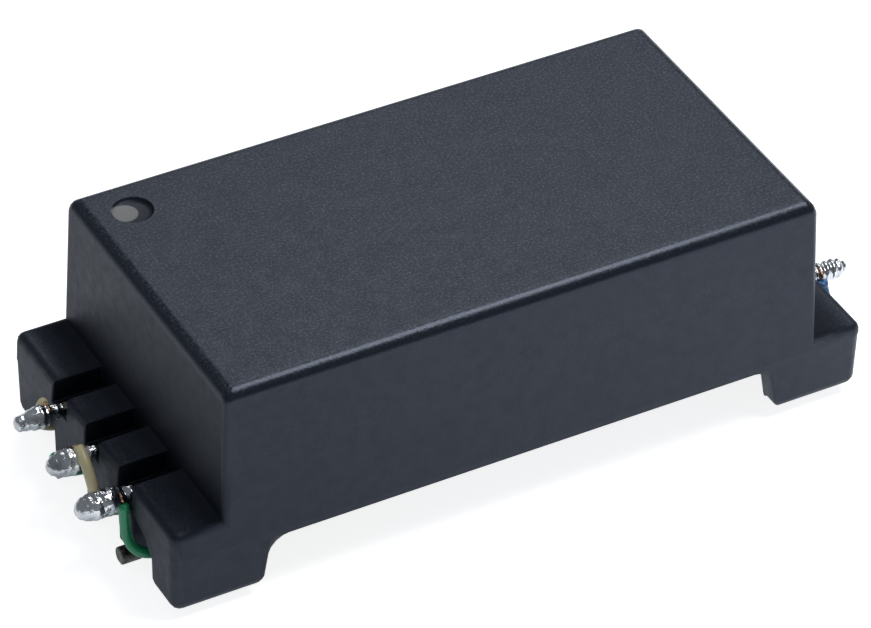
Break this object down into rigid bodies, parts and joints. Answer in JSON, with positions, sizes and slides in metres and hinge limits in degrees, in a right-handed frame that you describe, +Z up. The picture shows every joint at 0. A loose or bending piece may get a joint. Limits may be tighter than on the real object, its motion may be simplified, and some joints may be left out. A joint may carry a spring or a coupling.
{
  "type": "pcb transformer",
  "caption": "Surface-mount signal transformer: black moulded case open at the bottom, wound toroids inside, round leads with flat feet and soldered wire-wound stubs at both ends.",
  "frame": {"origin": "on the circuit board plane, under the middle of the part", "axes": "+X along the case, away from the pin 1 end; +Y across it, towards pins 1 and 6; +Z up, away from the board"},
  "size_m": [0.0302, 0.0126, 0.009],
  "materials": {
    "case_plastic": "fine eroded grain, satin",
    "lead_tin": "dull tinned wire",
    "solder": "bright solder",
    "ferrite_coating": "thin green coating, satin",
    "adhesive": "cured silicone, satin",
    "insulation_yellow": "smooth wire insulation",
    "insulation_green": "smooth wire insulation",
    "insulation_blue": "smooth wire insulation",
    "insulation_red": "smooth wire insulation",
    "copper": "bare copper"
  },
  "bodies": {
    "root": {"case": "case_plastic", "pin_1": "lead_tin", "pin_2": "lead_tin", "pin_3": "lead_tin", "pin_4": "lead_tin", "pin_5": "lead_tin", "pin_6": "lead_tin", "solder_1": "solder", "solder_2": "solder", "solder_3": "solder", "solder_4": "solder", "solder_5": "solder", "solder_6": "solder", "transformer_core": "ferrite_coating", "choke_core": "ferrite_coating", "transformer_adhesive": "adhesive", "choke_adhesive": "adhesive", "yellow_winding": "insulation_yellow", "green_winding": "insulation_green", "blue_winding": "insulation_blue", "red_winding": "insulation_red", "yellow_copper": "copper", "green_copper": "copper", "blue_copper": "copper", "red_copper": "copper"}
  },
  "joints": []
}
